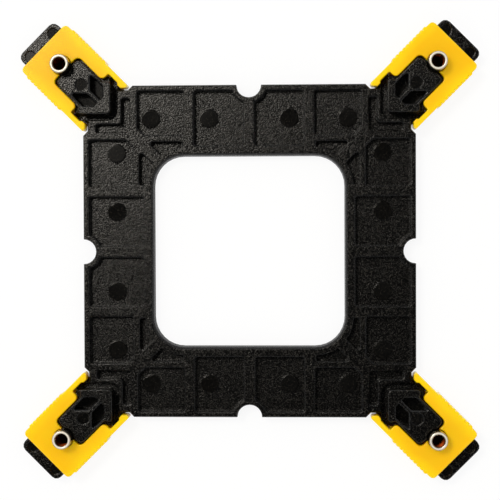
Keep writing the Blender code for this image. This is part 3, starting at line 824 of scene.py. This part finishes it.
class OBJECT_OT_insert_add(Operator):
    """Turn and thread one insert, and seat a copy of it in each clip"""

    bl_idname = "object.insert_add"
    bl_label = "Add the inserts"

    def execute(self, context):
        look = context.scene.insert_sizes
        low, high = (Vector(point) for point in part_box(f"insert_{CORNERS[0]}"))
        axis = (low + high) / 2
        deselect_all()
        shank = turned_shank(look, axis, low.z, high.z)
        deselect_all()
        head = hexagon_head(look, axis, low.z)
        shank = self.finished([head, shank], "threaded_insert", nickel_plate())
        deselect_all()
        ridge = thread_ridge(look, axis, low.z + look.pitch, high.z - look.lip - look.pitch / 2)
        deselect_all()
        foot = bore_foot(look, axis, low.z)
        thread = self.finished([foot, ridge], "insert_thread", shaded_tapped_brass())
        for pattern in (shank, thread):
            self.seat(pattern)
        return {"FINISHED"}

    def finished(self, pieces, name, material):
        """Join the pieces, face them outwards and give them their finish."""
        deselect_all()
        for piece in pieces:
            piece.select_set(True)
        bpy.context.view_layer.objects.active = pieces[-1]
        bpy.ops.object.join()
        bpy.ops.object.transform_apply(location=True, rotation=True, scale=True)
        bpy.ops.object.mode_set(mode="EDIT")
        bpy.ops.mesh.select_all(action="SELECT")
        bpy.ops.mesh.remove_doubles(threshold=WELD)
        bpy.ops.mesh.normals_make_consistent(inside=False)
        bpy.ops.object.mode_set(mode="OBJECT")
        bpy.ops.object.shade_smooth_by_angle(angle=SMOOTH)
        whole = bpy.context.object
        whole.name = name
        whole.data.materials.clear()
        whole.data.materials.append(material)
        return whole

    def seat(self, pattern):
        """The pattern and three copies of it, a quarter turn apart, each riding on its slider."""
        name = pattern.name
        for quarter, corner in enumerate(CORNERS):
            piece = pattern
            if quarter:
                deselect_all()
                pattern.select_set(True)
                bpy.context.view_layer.objects.active = pattern
                bpy.ops.object.duplicate(linked=False)
                piece = bpy.context.object
                piece.rotation_euler.z = math.radians(90 * quarter)
                bpy.ops.object.transform_apply(location=True, rotation=True, scale=True)
            piece.name = f"{name}_{corner}"
            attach(piece, f"slider_{corner}")
            if name == "threaded_insert":
                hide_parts(f"insert_{corner}")


def white_floor():
    """Matt white card: white to the camera and in reflections, and it takes a soft shadow.

    Where the plate closes it in, as under a slot, no light reaches it and it is dark.
    """
    setup = bpy.context.scene.studio_setup
    material, tree, output = new_material("white_card")
    card = add_node(tree, "ShaderNodeBsdfDiffuse", Color=(*setup.card_colour, 1))
    glow = add_node(tree, "ShaderNodeEmission", Color=WHITE, Strength=1.0)
    path = add_node(tree, "ShaderNodeLightPath")
    seen = add_node(
        tree, "ShaderNodeMath", settings={"operation": "MAXIMUM"},
        links={0: path.outputs["Is Camera Ray"], 1: path.outputs["Is Glossy Ray"]},
    )
    seen_through = add_node(
        tree, "ShaderNodeMath", settings={"operation": "MAXIMUM"},
        links={0: seen.outputs[0], 1: path.outputs["Is Transmission Ray"]},
    )
    sky = add_node(
        tree, "ShaderNodeAmbientOcclusion", settings={"samples": 8}, Distance=setup.floor_reach,
    )
    lit = add_node(
        tree, "ShaderNodeMapRange", links={"Value": sky.outputs["AO"]},
        From_Min=setup.floor_range[0], From_Max=setup.floor_range[1], To_Max=setup.floor_glow,
    )
    share = add_node(
        tree, "ShaderNodeMath", settings={"operation": "MULTIPLY"},
        links={0: seen_through.outputs[0], 1: lit.outputs["Result"]},
    )
    mix = add_node(
        tree, "ShaderNodeMixShader", links={0: share.outputs[0], 1: card.outputs[0], 2: glow.outputs[0]},
    )
    tree.links.new(mix.outputs[0], output.inputs["Surface"])
    return material


class SCENE_OT_backplate_studio(Operator):
    """Set the floor, the world, the lamp and the camera"""

    bl_idname = "scene.backplate_studio"
    bl_label = "Set the studio"

    def execute(self, context):
        setup = context.scene.studio_setup
        self.add_floor(setup)
        self.add_world(context, setup)
        self.add_lamp(setup)
        self.add_camera(context, setup)
        context.scene.view_settings.view_transform = "Standard"
        return {"FINISHED"}

    def add_floor(self, setup):
        """Plane just under the plate."""
        deselect_all()
        bpy.ops.mesh.primitive_plane_add(size=2.0, location=(0, 0, -setup.floor_drop))
        bpy.ops.object.transform_apply(location=True, rotation=True, scale=True)
        floor = bpy.context.object
        floor.name = "floor"
        floor.data.materials.append(white_floor())

    def add_world(self, context, setup):
        """Plain white to the camera; in reflections, white walls all round under a dark ceiling."""
        world = bpy.data.worlds.new("studio")
        context.scene.world = world
        world.use_nodes = True
        tree = world.node_tree
        tree.nodes.clear()
        place = add_node(tree, "ShaderNodeTexCoord")
        split = add_node(tree, "ShaderNodeSeparateXYZ", links={0: place.outputs["Generated"]})
        walls = add_node(
            tree, "ShaderNodeMapRange", links={"Value": split.outputs["Z"]},
            From_Min=setup.wall_top, From_Max=setup.ceiling, To_Min=1.0, To_Max=setup.dark,
        )
        path = add_node(tree, "ShaderNodeLightPath")
        mirrored = add_node(
            tree, "ShaderNodeMath", settings={"operation": "MAXIMUM"},
            links={0: path.outputs["Is Glossy Ray"], 1: path.outputs["Is Transmission Ray"]},
        )
        level = add_node(
            tree, "ShaderNodeMix", links={"Factor": mirrored.outputs[0], "B": walls.outputs["Result"]},
        )
        level.inputs["A"].default_value = setup.fill
        strength = add_node(
            tree, "ShaderNodeMix", links={"Factor": path.outputs["Is Camera Ray"], "A": level.outputs[0]},
        )
        strength.inputs["B"].default_value = 1.0
        background = add_node(
            tree, "ShaderNodeBackground", links={"Strength": strength.outputs[0]}, Color=WHITE,
        )
        output = tree.nodes.new("ShaderNodeOutputWorld")
        tree.links.new(background.outputs[0], output.inputs["Surface"])

    def add_lamp(self, setup):
        """Key lamp at the upper left of the picture."""
        aim = Vector(setup.key_place).to_track_quat("Z", "Y").to_euler()
        bpy.ops.object.light_add(type="AREA", location=setup.key_place, rotation=aim)
        key = bpy.context.object
        key.name = "key_lamp"
        key.data.size = setup.key_size
        key.data.energy = setup.key_power
        key.data.color = setup.key_colour

    def add_camera(self, context, setup):
        """Camera above the plate, a little to the right and tilted, as in the photograph."""
        bpy.ops.object.camera_add(
            location=(setup.right, setup.back, setup.height),
            rotation=(setup.pitch, setup.roll, setup.turn),
        )
        camera = bpy.context.object
        camera.name = "camera"
        camera.data.angle = setup.view_angle
        camera.data.clip_start = 10 * MM
        context.scene.camera = camera


class VIEW3D_PT_backplate(Panel):
    """Sidebar list of the steps"""

    bl_label = "Back plate"
    bl_space_type = "VIEW_3D"
    bl_region_type = "UI"
    bl_category = "Back plate"

    def draw(self, context):
        for step in STEPS:
            self.layout.operator(step.bl_idname)


STEPS = (
    OBJECT_OT_backplate_finish,
    OBJECT_OT_clip_finish,
    OBJECT_OT_insert_add,
    SCENE_OT_backplate_studio,
)
GROUPS = {
    "nylon_look": NylonLook,
    "acetal_look": AcetalLook,
    "insert_sizes": InsertSizes,
    "studio_setup": StudioSetup,
}


def register():
    for group in GROUPS.values():
        bpy.utils.register_class(group)
    for name, group in GROUPS.items():
        setattr(bpy.types.Scene, name, PointerProperty(type=group))
    for step in (*STEPS, VIEW3D_PT_backplate):
        bpy.utils.register_class(step)


def unregister():
    for step in (VIEW3D_PT_backplate, *reversed(STEPS)):
        bpy.utils.unregister_class(step)
    for name in GROUPS:
        delattr(bpy.types.Scene, name)
    for group in reversed(GROUPS.values()):
        bpy.utils.unregister_class(group)


def main():
    register()
    bpy.ops.object.backplate_finish()
    bpy.ops.object.clip_finish()
    bpy.ops.object.insert_add()
    bpy.ops.scene.backplate_studio()


if __name__ == "__main__":
    main()
